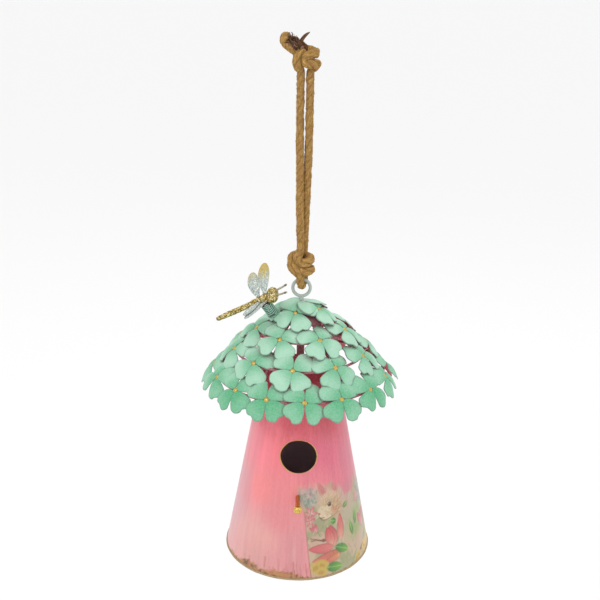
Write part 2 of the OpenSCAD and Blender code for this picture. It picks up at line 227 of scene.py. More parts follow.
class Shader:
    """A material's node tree, with short calls for the nodes used here."""

    def __init__(self, name, **sockets):
        self.material = bpy.data.materials.new(name)
        self.material.use_nodes = True
        self.tree = self.material.node_tree
        self.principled = self.tree.nodes["Principled BSDF"]
        for key, value in sockets.items():
            self.set(key.replace("_", " "), value)

    def socket(self, name):
        return [s for s in self.principled.inputs if s.name.lower() == name.lower()][0]

    def set(self, name, value):
        self.socket(name).default_value = (*value, 1) if isinstance(value, tuple) else value

    def node(self, kind, inputs=None, **settings):
        made = self.tree.nodes.new("ShaderNode" + kind)
        for key, value in settings.items():
            setattr(made, key, value)
        for key, value in (inputs or {}).items():
            self.give(made.inputs[key], value)
        return made

    def give(self, socket, value):
        if isinstance(value, bpy.types.NodeSocket):
            self.tree.links.new(value, socket)
        elif isinstance(value, tuple) and len(value) == 3 and socket.type == "RGBA":
            socket.default_value = (*value, 1)
        else:
            socket.default_value = value

    def link(self, output, name):
        self.tree.links.new(output, self.socket(name))

    def attribute(self, name, output="Color"):
        return self.node("Attribute", attribute_name=name).outputs[output]

    def place(self):
        return self.node("TexCoord").outputs["Object"]

    def scaled(self, vector, scale):
        return self.node("Mapping", {"Vector": vector, "Scale": scale}).outputs["Vector"]

    def noise(self, vector, scale, detail=4.0, rough=0.55):
        made = self.node("TexNoise", {"Vector": vector, "Scale": scale, "Detail": detail, "Roughness": rough})
        return made.outputs["Fac"]

    def cells(self, vector, scale):
        return self.node("TexVoronoi", {"Vector": vector, "Scale": scale}).outputs["Color"]

    def math(self, operation, a, b):
        made = self.node("Math", operation=operation)
        self.give(made.inputs[0], a)
        self.give(made.inputs[1], b)
        return made.outputs[0]

    def remap(self, value, a, b, low=0.0, high=1.0):
        ends = {"From Min": a, "From Max": b, "To Min": low, "To Max": high}
        return self.node("MapRange", {"Value": value, **ends}).outputs["Result"]

    def mix(self, factor, a, b, blend="MIX"):
        made = self.node("Mix", data_type="RGBA", blend_type=blend)
        self.give(made.inputs["Factor"], factor)
        self.give(made.inputs[6], a)
        self.give(made.inputs[7], b)
        return made.outputs[2]

    def times(self, tone, colour):
        return self.mix(1.0, tone, colour, "MULTIPLY")

    def bump(self, height, distance, strength=1.0):
        made = self.node("Bump", {"Height": height, "Distance": distance, "Strength": strength})
        self.link(made.outputs["Normal"], "Normal")


def dress(node, material):
    """Gives a carried-over CAD node its finish."""
    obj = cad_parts[node]
    obj.data.materials.clear()
    obj.data.materials.append(material)


def jute(name, light, dark, fleck):
    """Twisted jute: fibres along the yarns, with painted shade in the grooves between them."""
    s = Shader(name, roughness=0.9)
    s.set("Specular IOR Level", 0.15)
    lay = s.attribute("lay", "Vector")
    fibres = s.noise(s.scaled(lay, (0.3, 1.3, 1.0)), 1.0, 8.0, 0.8)
    clumps = s.noise(s.scaled(lay, (0.10, 0.3, 1.0)), 1.0, 3.0)
    pits = s.noise(s.scaled(lay, (0.55, 0.85, 1.0)), 1.0, 5.0, 0.75)
    groove_shade = s.attribute("groove_shade", "Fac")
    tone = s.mix(s.remap(fibres, 0.38, 0.62), dark, light)
    tone = s.mix(s.remap(clumps, 0.48, 0.72, 0.0, 0.7), tone, fleck)
    tone = s.mix(s.remap(pits, 0.54, 0.66, 0.0, 0.85), tone, tuple(v * 0.45 for v in dark))
    # painted shade: darker the deeper a point lies in a groove between the yarns
    tone = s.mix(s.math("MULTIPLY", groove_shade, 0.45), tone, tuple(v * 0.4 for v in dark))
    s.link(tone, "Base Color")
    s.bump(fibres, 0.0018, 1.0)
    return s.material


# ---------------------------------------------------------------- rope

def curve_through(points, step):
    """Points step apart along a smooth curve through the given ones."""
    p = np.array([points[0], *points, points[-1]], float)
    fine = []
    for i in range(1, len(p) - 2):
        t = np.linspace(0, 1, 40, endpoint=False)[:, None]
        a, b, c, d = p[i - 1], p[i], p[i + 1], p[i + 2]
        fine.append(0.5 * (2 * b + (c - a) * t + (2 * a - 5 * b + 4 * c - d) * t**2
                           + (3 * b - a - 3 * c + d) * t**3))
    fine = np.vstack([*fine, p[-1:]])
    along = np.concatenate([[0], np.cumsum(np.linalg.norm(np.diff(fine, axis=0), axis=1))])
    want = np.linspace(0, along[-1], max(2, int(round(along[-1] / step)) + 1))
    return np.stack([np.interp(want, along, fine[:, k]) for k in range(3)], 1)


def relax(points, rounds):
    """Rounds off the corners of a route, and leaves its ends."""
    for _ in range(rounds):
        points[1:-1] = points[1:-1] * 0.5 + (points[:-2] + points[2:]) * 0.25
    return points


# The rope's route in millimetres: from the middle of its bight, through the lower knot, up a strand,
# through the upper knot and out at its tail.
BIGHT_FRONT = [(0.4, 0, -187.7), (0, -2.5, -187.3), (-0.8, -4.8, -185.4), (-1.2, -5.8, -181.5),
               (-1.4, -5.7, -176)]
BIGHT_BACK = [(0.4, 0, -187.7), (0.8, 2.5, -187.3), (1.6, 4.8, -185.4), (2.2, 5.8, -181.5), (2.8, 5.6, -176)]
LOWER_FRONT = [(-6, -5.6, -172.5), (-9.6, -1.5, -169), (-7.5, 4.5, -164.5), (-1, 7.6, -161.5),
               (5.2, 5.4, -161.5), (7.4, -0.5, -162.5), (4.4, -6.4, -164),
               (-1.5, -7.2, -163.5), (-4.2, -5, -159)]
LOWER_BACK = [(7, 3.6, -173), (8.4, -1.5, -171.5), (4.4, -6.6, -172.2), (-1.8, -7.2, -171),
              (-8, -3.6, -166.5), (-9, 2.6, -161.5), (-4, 6.8, -160), (0.8, 5.2, -157.5)]
STRAND_FRONT = [(-1.7, -3.4, -154), (-2, -3.3, -139), (-2.4, -2.9, -122), (-2.8, -2.2, -104),
                (-3.1, -1.4, -86), (-3.4, -0.8, -68), (-3.6, -0.4, -50), (-3.8, 0, -32),
                (-3.8, 0, -14), (-3.6, 0, 2)]
STRAND_BACK = [(1.8, 3.4, -154), (2.2, 3.3, -139), (2.6, 2.9, -122), (3.1, 2.2, -104), (3.6, 1.4, -86),
               (4, 0.8, -68), (4.2, 0.4, -50), (4.4, 0, -32), (4.4, 0, -14), (4.2, 0, 2)]
UPPER_FRONT = [(-4.6, -1, 5), (-6.4, -4.2, 9), (-7.2, -5.8, 13.5), (-5.6, -4.6, 18.4), (-1.4, 0.4, 20.8),
               (3.4, 5.8, 18), (2.2, 7.6, 12.5), (-3.6, 5.6, 12.4), (-6.6, 2.6, 15.2)]
UPPER_BACK = [(6.4, 2.2, 6), (9.8, -1.8, 9.8), (6, -6.4, 10.2), (0.2, -6.6, 10.4), (-0.6, -5.6, 15),
              (3.8, -5.8, 17.6), (8.2, -1.6, 18.4), (6.6, 3.4, 19.6), (3, 2.4, 20.4)]
TAIL_FRONT = [(-6.8, -1, 19), (-13, -2.2, 23.4), (-17.8, -3, 27.2), (-18.4, -2.8, 30),
              (-16, -2, 32.6), (-13.2, -1.2, 33.6)]
TAIL_BACK = [(-1, 0.6, 20.5), (-3.4, 0, 23), (-6.8, -1, 26), (-10.5, -1.4, 29), (-13.4, -1.6, 31)]


ROPE_STEP = 0.7
ROPE_SIDES = 36
ROPE_R = ROPE_D / MM / 2
LAY_LENGTH = 24.0
BROWN_END = 19
FIBRE_R = 0.07


def drift(rng, along, reach, count):
    """Random values between -reach and reach that change slowly along the rope."""
    return np.interp(along, np.linspace(0, along[-1], count), rng.uniform(-reach, reach, count))


def yarn_lay(along, around):
    """The lay attribute of a round yarn: how far along it and round it each point is."""
    n = len(along) * len(around)
    return np.stack([np.repeat(along, len(around)), np.tile(around, len(along)), np.zeros(n)], 1)


def rope_swell(rng, route, along, tail_swell):
    """How much thicker than plain rope each ring is: uneven, fuller in the knots, closed at the end."""
    length = along[-1]
    z = route[:, 2]
    knotted = 1 - smoothstep(np.abs(z + 167), 9, 14) + 1 - smoothstep(np.abs(z - 15), 8, 12)
    tail = smoothstep(along, length - 24, length - 10)
    end = 1 - 0.6 * smoothstep(along, length - 4, length)
    return (1 + 0.07 * drift(rng, along, 1, 50)) * (1 + 0.18 * knotted) * (1 + tail_swell * tail) * end


def loose_fibres(rng, route, u, v, count, first):
    """Thin three-sided slivers that leave the rope and trail along it, their points numbered from first."""
    verts, faces = [], []
    for _ in range(count):
        i = int(rng.integers(3, len(route) - 8))
        a = rng.uniform(0, 2 * math.pi)
        out = math.cos(a) * u[i] + math.sin(a) * v[i]
        run = route[i + 5] - route[i]
        run = run / np.linalg.norm(run) * rng.choice([-1, 1])
        reach = rng.uniform(0.3, 1.1)
        base = route[i] + out * ROPE_R * 0.86
        across = np.cross(out, run)
        bend = across * rng.uniform(-0.8, 0.8)
        faces += grid_faces(3, 3, wrap=True, start=first + len(verts))
        spine = (base, base + run + out * reach * 0.4 + bend * 0.3, base + run * 1.9 + out * reach + bend)
        for m, point in enumerate(spine):
            thin = FIBRE_R * (1 - 0.42 * m)
            verts += [point + across * thin, point - across * thin, point + out * thin]
    return np.array(verts), faces


def rope_half(name, parts, material, material_tail, tail_swell, seed):
    """Half of the rope, three yarns loosely twisted together, with loose fibres standing off it."""
    route = curve_through([point for part in parts for point in part], ROPE_STEP)
    route = curve_through(relax(route, 12)[::2], ROPE_STEP)
    n = len(route)
    length = np.linalg.norm(np.diff(route, axis=0), axis=1).sum()
    along = np.linspace(0, length, n)
    u, v = side_vectors(route, (0.3, 0.2, 0.9))
    rng = np.random.default_rng(seed)
    angle = np.linspace(0, 2 * math.pi, ROPE_SIDES, endpoint=False)
    yarn = np.abs(np.cos(1.5 * angle)) ** 0.62
    swell = rope_swell(rng, route, along, tail_swell)
    depth = 0.15 + 0.07 * drift(rng, along, 1, 40)
    radius = ROPE_R * (1 - depth[:, None] * (1 - yarn)[None, :]) * swell[:, None]
    twist = (along / LAY_LENGTH * 2 * math.pi + drift(rng, along, 0.6, 70))[:, None] + angle[None, :]
    radius = radius * (1 + 0.035 * np.sin(3 * angle[None, :] + along[:, None] * 0.9))
    radius = radius + 0.17 * rng.standard_normal(radius.shape)
    ring = (route[:, None, :] + radius[:, :, None]
            * (np.cos(twist)[:, :, None] * u[:, None, :] + np.sin(twist)[:, :, None] * v[:, None, :]))
    skin = n * ROPE_SIDES
    faces = grid_faces(n, ROPE_SIDES, wrap=True) + end_caps(n, ROPE_SIDES)
    fibres, fibre_faces = loose_fibres(rng, route, u, v, int(length * 4.5), skin)
    faces += fibre_faces
    verts = np.vstack([ring.reshape(-1, 3), fibres])
    obj = mesh_object(name, verts * MM, faces, material, material_tail)
    lay = yarn_lay(along, angle * 3.5)
    lay[:, 1] += lay[:, 0] * 0.4
    # painted shade: how deep in a groove between the yarns each point lies, for the jute to darken
    groove_shade = np.tile(1 - smoothstep(yarn, 0.0, 0.75), n)
    set_attribute(obj, "lay", np.vstack([lay, np.tile([[0.0, 0.0, 5.0]], (len(fibres), 1))]))
    set_attribute(obj, "groove_shade", np.concatenate([groove_shade, np.zeros(len(fibres))]))
    brown_from = n - int(BROWN_END / ROPE_STEP)
    brown = [int(f[0] < skin and f[0] // ROPE_SIDES > brown_from) for f in faces]
    if material_tail != material:
        obj.data.polygons.foreach_set("material_index", brown)
    return obj, route, length


def frayed_end(material):
    """The dark cut end: a sheaf of loose fibres that fans out to the left, and one stiff pointed yarn."""
    rng = np.random.default_rng(21)
    spine = curve_through(TAIL_BACK, 1.0)
    verts, faces, lay = [], [], []
    count = 0
    for k in range(170):
        first = int(rng.integers(0, 7))
        last = int(rng.integers(len(spine) - 6, len(spine)))
        line = spine[first:last]
        t = np.linspace(0, 1, len(line))[:, None]
        out = rng.normal(0, 1, 3)
        out = out / np.linalg.norm(out) * rng.uniform(1.5, 6.4) * (1, 0.8, 1)
        wander = rng.normal(0, 0.9, 3) * np.sin(t * rng.uniform(5, 14))
        line = line + (-1.3, -2.2, -0.6) + out * (0.5 + 0.5 * t) + wander
        thick = rng.uniform(0.3, 0.85) * (1 - 0.7 * t[:, 0] ** 2)
        points, ring = tube_mesh(line, thick, sides=5, start=count)
        verts.append(points)
        faces += ring
        lay.append(yarn_lay(t[:, 0] * 14, np.arange(5) + k * 7.0))
        count += len(points)
    sheaf = mesh_object("frayed_end", np.vstack(verts) * MM, faces, material)
    set_attribute(sheaf, "lay", np.vstack(lay))
    line = curve_through([(-4.4, -1, 26), (-3, -1.2, 29.6), (-0.4, -1.2, 32.8), (3.4, -1.2, 35.6)], 0.6)
    t = np.linspace(0, 1, len(line))
    points, faces = tube_mesh(line, 1.8 - 0.7 * t - 0.95 * t**6, sides=10)
    point = mesh_object("frayed_yarn", points * MM, faces, material)
    set_attribute(point, "lay", yarn_lay(t * 12, np.arange(10.0)))
    for piece in (sheaf, point):
        set_attribute(piece, "groove_shade", np.zeros(len(piece.data.vertices)))
        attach(piece, "rope")
    return [sheaf, point]


def make_rope():
    tan = jute("jute", srgb(236, 194, 120), srgb(150, 104, 46), srgb(196, 138, 98))
    brown = jute("jute_end", srgb(134, 90, 62), srgb(70, 38, 20), srgb(206, 176, 150))
    front = (BIGHT_FRONT, LOWER_FRONT, STRAND_FRONT, UPPER_FRONT, TAIL_FRONT)
    back = (BIGHT_BACK, LOWER_BACK, STRAND_BACK, UPPER_BACK, TAIL_BACK)
    halves = (("rope_front_half", front, tan, 0.12, 11, []),
              ("rope_back_half", back, brown, 0.1, 12, frayed_end(brown)))
    for name, parts, end, tail_swell, seed, loose in halves:
        obj, route, length = rope_half(name, parts, tan, end, tail_swell, seed)
        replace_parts(obj, "upper_knot", "rope_tails", "rope_strands", "lower_knot", "rope_bight")
        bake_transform(obj)
        print(f"{name} is {length:.0f} mm long")


make_rope()


# ---------------------------------------------------------------- painted metal

def painted(name, tint, rough=0.42, grain=700, wear=None):
    """Spray paint over sheet metal: slight mottling and orange peel, from a tint attribute or a colour."""
    s = Shader(name)
    place = s.place()
    base = s.attribute(tint) if isinstance(tint, str) else tint
    mottle = s.noise(place, grain, 5.0, 0.6)
    cloud = s.noise(place, grain / 7, 3.0)
    tone = s.mix(s.remap(mottle, 0.3, 0.7, 0.0, 0.16), base, (1.0, 1.0, 1.0))
    tone = s.mix(s.remap(cloud, 0.35, 0.75, 0.0, 0.35), tone, s.times(tone, (0.82, 0.86, 0.84)))
    if wear:
        chips = s.noise(place, grain * 0.6, 6.0, 0.75)
        tone = s.mix(s.remap(chips, 0.66, 0.72), tone, wear)
    s.link(tone, "Base Color")
    s.link(s.remap(mottle, 0.25, 0.75, rough - 0.09, rough + 0.12), "Roughness")
    s.bump(mottle, 0.00012, 0.6)
    return s.material


def metal(name, colour, dark, rough=0.3, scale=900):
    """Bare or gilded metal with patches of tarnish."""
    s = Shader(name, metallic=1.0)
    place = s.place()
    stain = s.noise(place, scale, 6.0, 0.7)
    s.link(s.mix(s.remap(stain, 0.45, 0.72), colour, dark), "Base Color")
    s.link(s.remap(stain, 0.3, 0.75, rough, rough + 0.3), "Roughness")
    s.bump(stain, 0.0001, 0.5)
    return s.material


def glitter(name, colours, edge, cell=1500, shine=0.75):
    """Paint full of metal flakes, each at its own tilt. Attribute edge turns it to the last colour."""
    s = Shader(name, metallic=shine, roughness=0.34)
    place = s.place()
    flake = s.cells(place, cell)
    split = s.node("SeparateColor", {"Color": flake})
    big = s.noise(place, 500, 3.0)
    tone = s.mix(s.remap(split.outputs[0], 0.25, 0.8), colours[0], colours[1])
    tone = s.mix(s.remap(split.outputs[1], 0.8, 0.86), tone, colours[2])
    tone = s.mix(s.remap(big, 0.55, 0.7, 0.0, 0.5), tone, s.times(tone, (0.55, 0.5, 0.4)))
    if edge:
        speckle = s.math("ADD", s.attribute(edge, "Fac"), s.remap(split.outputs[2], 0, 1, -0.25, 0.25))
        tone = s.mix(s.remap(speckle, 0.45, 0.6), tone, colours[3])
    s.link(tone, "Base Color")
    s.link(s.remap(split.outputs[2], 0, 1, 0.2, 0.5), "Roughness")
    s.bump(split.outputs[0], 0.00035, 0.9)
    return s.material


# ---------------------------------------------------------------- canopy of flowers

PETAL_L = 21.6
PETAL_W = 10.5
PETAL_SHEET = 0.45
PETAL_ROOT = 1.6
LOW_PETALS = (1, 2)
MINT_BASE = linear((26, 164, 102))
MINT_LIGHT = linear((160, 212, 182))
MINT_EDGE_SHADE = linear((96, 136, 116))

# Rows of the canopy: distance down the arc, number of flowers, turn of the first, how light they are, which
# is painted light and shade: lower rows face away from the light above and are painted darker
ROWS = {"crown_flowers": (0.0195, 4, -17, 0.95), "upper_flowers": (0.0495, 7, -27, 0.9),
        "middle_flowers": (0.0775, 10, -6, 0.72), "rim_flowers": (0.106, 15, 3, 0.42)}


def petal(rng, length, width, heart):
    """One petal: a domed heart, as points of rings from its middle out, with each point's tone.
    x goes across it, y along it from the flower's centre, in millimetres."""
    rings, around = 10, 40
    phi = np.linspace(0, 2 * math.pi, around, endpoint=False)
    power = 2 / 2.5
    edge_x = np.sign(np.cos(phi)) * np.abs(np.cos(phi)) ** power
    edge_y = np.sign(np.sin(phi)) * np.abs(np.sin(phi)) ** power
    rho = np.linspace(0, 1, rings)[:, None] ** 0.85
    x = width * rho * edge_x
    half = (length - PETAL_ROOT) / 2
    y = PETAL_ROOT + half + half * rho * edge_y
    x = x * (0.26 + 0.74 * np.clip(y / (length * 0.66), 0, 1) ** 0.85)
    skew = rng.uniform(-1.2, 1.2)
    y = y - heart * np.exp(-((x - skew) / 3.3) ** 2) * smoothstep(y, length * 0.5, length)
    y = y + 0.25 * np.sin(x * 0.9 + rng.uniform(0, 6)) * smoothstep(y, length * 0.7, length)
    crown = rng.uniform(2.3, 3.3)
    along = y / length
    z = crown * (1 - (x / width) ** 2) * np.sin(math.pi * np.clip(along, 0, 1) ** 0.8) ** 0.8
    z = z - rng.uniform(1.2, 2.8) * along**3 - 0.7 * (np.abs(x) / width) ** 3
    z = z + rng.uniform(-0.9, 0.9) * (x / width) * along
    z = z - (x**2 + y**2) * 0.0032
    light = smoothstep(along, 0.16, 0.8)
    return np.stack([x, y, z], 2), light, rho * np.ones((1, around))


def petal_faces(rings, around, start):
    """Top, underside and cut edge of a petal of two layers of rings, and their material numbers."""
    layer = rings * around
    top = grid_faces(rings, around, wrap=True, start=start)
    under = [f[::-1] for f in grid_faces(rings, around, wrap=True, start=start + layer)]
    e = start + layer - around
    rim = [(e + j, e + layer + j, e + layer + (j + 1) % around, e + (j + 1) % around) for j in range(around)]
    return top + under + rim, [0] * len(top) + [1] * len(under) + [2] * len(rim)


def petal_tone(light, rho, bright):
    """A petal's green: darker at its root, and darkened along its cut edge as painted shade."""
    bright = np.clip(bright, 0, 1)
    light = np.clip(0.45 * bright + light * (0.25 + 0.55 * bright), 0, 1)
    tone = MINT_BASE + (MINT_LIGHT - MINT_BASE) * light[:, :, None]
    # painted shade: a dark rim along the petal's edge, where petals overlap
    return tone + (MINT_EDGE_SHADE - tone) * smoothstep(rho, 0.90, 1.0)[:, :, None] * 0.75


def flower_row(name, row):
    """One row of flowers as one piece: green above, crimson below, with a thin grey cut edge, darkened as
    painted shade to outline the petals.
    """
    s, count, first, painted_row_light = row
    rng = np.random.default_rng(sum(map(ord, name)))
    verts, faces, index, tints = [], [], [], []
    for i in range(count):
        place = dome_place(first + i * 360 / count, s)
        place = place @ turned(-rng.uniform(5, 9), "X") @ turned(rng.uniform(2, 7), "Y")
        spin = rng.uniform(-9, 9)
        flower_tone = rng.uniform(-0.12, 0.12)
        for k in range(4):
            turn = turned(45 + 90 * k + spin + rng.uniform(-4, 4), "Z") @ turned(rng.uniform(-4, 4), "X")
            low_petal = k in LOW_PETALS
            heart = rng.uniform(1.0, 2.4) if low_petal else rng.uniform(0.3, 1.3)
            length = PETAL_L * rng.uniform(0.93, 1.03)
            width = PETAL_W * rng.uniform(0.93, 1.04)
            points, light, rho = petal(rng, length, width, heart)
            rings, around = rho.shape
            flat = points.reshape(-1, 3)
            both = np.vstack([flat, flat - (0, 0, PETAL_SHEET)]) * MM
            skin, numbers = petal_faces(rings, around, len(verts) * len(both))
            verts.append(moved(both, place @ turn))
            faces += skin
            index += numbers
            # a random tone for each flower and petal, on top of the row's painted light
            bright = painted_row_light + flower_tone + rng.uniform(-0.15, 0.15)
            # painted shade: in the lower rows the petals that point down are painted darker
            bright -= 0.2 * low_petal * (painted_row_light < 0.6)
            tints.append(np.tile(petal_tone(light, rho, bright).reshape(-1, 3), (2, 1)))
    obj = mesh_object(name + "_look", np.vstack(verts), faces, mint, underside, petal_edge_shade)
    obj.data.polygons.foreach_set("material_index", index)
    set_attribute(obj, "tint", np.vstack(tints))
    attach(obj, "house")
    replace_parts(obj, name)


mint = painted("mint_paint", "tint", 0.40, 650)
underside = painted("crimson_underside", srgb(200, 66, 88), 0.45, 500)
# the cut edge: a grey darker than bare metal, as painted shade that outlines each petal
petal_edge_shade = painted("petal_edge_shade", srgb(142, 158, 146), 0.5, 900)
for row_name, row_facts in ROWS.items():
    flower_row(row_name, row_facts)


# ---------------------------------------------------------------- the painted wall

class Picture:
    """Paint on the unrolled wall. x runs round it and y up it, in millimetres. Colours are 0-255 values."""

    def __init__(self, az, h):
        self.az = az
        self.x = np.radians(az) * 62
        self.y = h
        self.rgb = np.zeros((*az.shape, 3))
        self.cover = np.ones(az.shape)

    def noise(self, fx, fy, seed, octaves=3):
        """Smooth noise from 0 to 1 with features 1/fx wide and 1/fy high."""
        table = np.random.default_rng(seed).random((64, 64))
        out = np.zeros(self.x.shape)
        total = 0
        for k in range(octaves):
            px, py = self.x * fx * 2**k + 31 * k, self.y * fy * 2**k + 17 * k
            ix, iy = np.floor(px).astype(int), np.floor(py).astype(int)
            tx, ty = px - ix, py - iy
            tx, ty = tx * tx * (3 - 2 * tx), ty * ty * (3 - 2 * ty)
            a, b = table[ix % 64, iy % 64], table[(ix + 1) % 64, iy % 64]
            c, d = table[ix % 64, (iy + 1) % 64], table[(ix + 1) % 64, (iy + 1) % 64]
            out += (a + (b - a) * tx + (c - a) * ty + (a - b - c + d) * tx * ty) / 2**k
            total += 1 / 2**k
        return out / total

    def lay(self, colour, alpha):
        alpha = np.clip(alpha * self.cover, 0, 1)[..., None]
        self.rgb = self.rgb * (1 - alpha) + np.asarray(colour, float) * alpha

    def stain(self, colour, alpha, fx, fy, seed, low, high):
        """Lays colour where smooth noise is high."""
        self.lay(colour, alpha * smoothstep(self.noise(fx, fy, seed), low, high))

    def ray(self, x, y, reach, degrees, width, colour, alpha):
        """A straight stroke from x, y."""
        self.line([(x, y), polar(x, y, reach, degrees)], width, colour, alpha)

    def local(self, x, y, turn):
        """Coordinates along and across a shape that starts at x, y and points turn degrees up from +x."""
        a = math.radians(turn)
        dx, dy = self.x - x, self.y - y
        return dx * math.cos(a) + dy * math.sin(a), -dx * math.sin(a) + dy * math.cos(a)

    def blob(self, x, y, rx, ry, colour, turn=0.0, soft=0.25, alpha=1.0):
        u, v = self.local(x, y, turn)
        d = np.sqrt((u / rx) ** 2 + (v / ry) ** 2)
        self.lay(colour, alpha * (1 - smoothstep(d, 1 - soft, 1 + soft)))

    def line(self, points, width, colour, alpha=1.0):
        """A stroke through points, with soft edges."""
        best = np.full(self.x.shape, 1e9)
        for (ax, ay), (bx, by) in zip(points[:-1], points[1:]):
            lx, ly = bx - ax, by - ay
            t = np.clip(((self.x - ax) * lx + (self.y - ay) * ly) / (lx * lx + ly * ly), 0, 1)
            best = np.minimum(best, np.hypot(self.x - ax - t * lx, self.y - ay - t * ly))
        self.lay(colour, alpha * (1 - smoothstep(best, width * 0.5 - 0.2, width * 0.5 + 0.45)))

    def leaf(self, x, y, length, width, turn, root, tip, vein=None, alpha=1.0, blunt=0.9):
        """A petal or leaf: pointed at both ends, shaded from root to tip, darker at its edges."""
        u, v = self.local(x, y, turn)
        t = np.clip(u / length, 0, 1)
        half = width * np.sin(math.pi * t**blunt) ** 0.7 + 1e-6
        inside = (1 - smoothstep(np.abs(v) - half, -0.35, 0.35)) * (u > -0.2) * (u < length + 0.2)
        shade = np.asarray(root, float) + (np.asarray(tip, float) - root) * t[..., None]
        side = np.clip(np.abs(v) / half, 0, 1)
        shade = shade * (1.06 - 0.20 * side[..., None] ** 3)
        streak = 0.5 + 0.5 * np.sin(v / half * 9)
        shade = shade * (0.98 + 0.03 * streak[..., None])
        self.lay(shade, alpha * inside)
        if vein:
            self.lay(vein, 0.6 * inside * (1 - smoothstep(np.abs(v), 0.1, 0.55)))


def paint_ground(p):
    """The brushed pinks: rose at the top, salmon on the left, mauve on the right, beige-lavender below."""
    anchors = [(-45, 152, (236, 122, 138)), (0, 154, (214, 82, 98)), (35, 152, (204, 82, 96)),
               (75, 140, (216, 104, 124)), (-62, 118, (240, 146, 160)),
               (-40, 118, (250, 142, 154)), (-22, 122, (250, 130, 140)),
               (30, 118, (224, 112, 140)), (60, 108, (216, 122, 144)), (12, 96, (228, 132, 146)),
               (-4, 88, (236, 146, 148)), (-42, 82, (242, 142, 142)), (-68, 80, (220, 164, 172)),
               (-75, 45, (212, 172, 180)), (-52, 38, (222, 176, 168)), (-30, 36, (226, 176, 166)),
               (-14, 56, (228, 146, 150)), (-2, 34, (216, 152, 156)), (-2, 10, (214, 150, 152)),
               (-40, 8, (216, 170, 162)), (120, 150, (222, 104, 120)), (180, 150, (232, 118, 134)),
               (-120, 150, (240, 132, 146)),
               (120, 110, (224, 126, 146)), (180, 110, (240, 140, 150)), (-120, 110, (244, 150, 156)),
               (-160, 60, (228, 160, 164)), (-110, 50, (216, 168, 174)), (180, 40, (222, 168, 166)),
               (-110, 10, (218, 172, 166))]
    total = np.zeros(p.x.shape)
    for az, h, colour in anchors:
        gap = (p.az - az + 180) % 360 - 180
        w = 1 / ((gap * 1.0) ** 2 + ((p.y - h) * 1.15) ** 2 + 120) ** 1.6
        p.rgb += w[..., None] * np.array(colour, float)
        total += w
    p.rgb /= total[..., None]
    broad = p.noise(0.10, 0.012, 3)
    fine = p.noise(0.55, 0.03, 4)
    p.rgb *= (1 + 0.10 * (broad - 0.5) + 0.07 * (fine - 0.5))[..., None]
    p.stain((226, 196, 186), 0.45 * (1 - smoothstep(p.y, 20, 110)), 0.22, 0.02, 5, 0.55, 0.8)
    p.stain((206, 66, 84), 0.40 * smoothstep(p.y, 120, 150), 0.06, 0.05, 6, 0.5, 0.75)


def paint_tulip(p, x, y, size, turn, colour):
    """A tulip that opens along turn: outer petals first, then the middle one."""
    pale = tuple(c + (240 - c) * 0.55 for c in colour)
    for side, long in ((-24, 0.92), (22, 1.0), (0, 0.86)):
        p.leaf(x, y, size * long, size * 0.21, turn + side, pale, colour, alpha=0.95, blunt=0.75)
    a = math.radians(turn)
    foot = (x - size * 0.5 * math.cos(a), y - size * 0.7 * math.sin(a))
    p.line([(x, y), foot], 0.7, (112, 140, 78), 0.8)


def paint_lily(p, x, y, size, rng):
    """A star of narrow petals with a pale heart and dark anthers."""
    first = rng.uniform(0, 60)
    for k in range(6):
        turn = first + k * 60 + rng.uniform(-8, 8)
        p.leaf(x, y, size, size * 0.2, turn, (236, 190, 186), (206, 74, 96), alpha=0.9)
    p.blob(x, y, size * 0.16, size * 0.16, (244, 226, 190))
    for k in range(4):
        p.ray(x, y, size * 0.5, first + 20 + k * 80, 0.35, (150, 60, 60), 0.7)


def paint_hydrangea(p, x, y, rx, ry, rng):
    """A head of small four-petalled florets in blue-green and grey."""
    tones = ((140, 160, 148), (184, 190, 174), (118, 146, 136), (204, 182, 176))
    p.blob(x, y, rx, ry, (164, 172, 158), soft=0.45, alpha=0.75)
    for _ in range(int(rx * ry * 0.9)):
        a, r = rng.uniform(0, 2 * math.pi), math.sqrt(rng.uniform(0, 1))
        fx, fy = x + rx * r * math.cos(a), y + ry * r * math.sin(a)
        tone = tones[rng.integers(4)]
        spin = rng.uniform(0, 90)
        for k in range(4):
            turn = spin + 90 * k
            p.blob(*polar(fx, fy, 0.9, turn), 0.95, 0.65, tone, turn, 0.35, 0.8)
        p.blob(fx, fy, 0.35, 0.35, (104, 128, 108), alpha=0.7)


def paint_primrose(p, x, y, size, rng):
    """A five-petalled yellow flower."""
    first = rng.uniform(0, 72)
    for k in range(5):
        turn = first + 72 * k
        colour = tuple(c * rng.uniform(0.9, 1.06) for c in (226, 190, 88))
        p.blob(*polar(x, y, size * 0.5, turn), size * 0.42, size * 0.36, colour, turn, 0.2, 0.95)
    p.blob(x, y, size * 0.18, size * 0.18, (190, 110, 50))


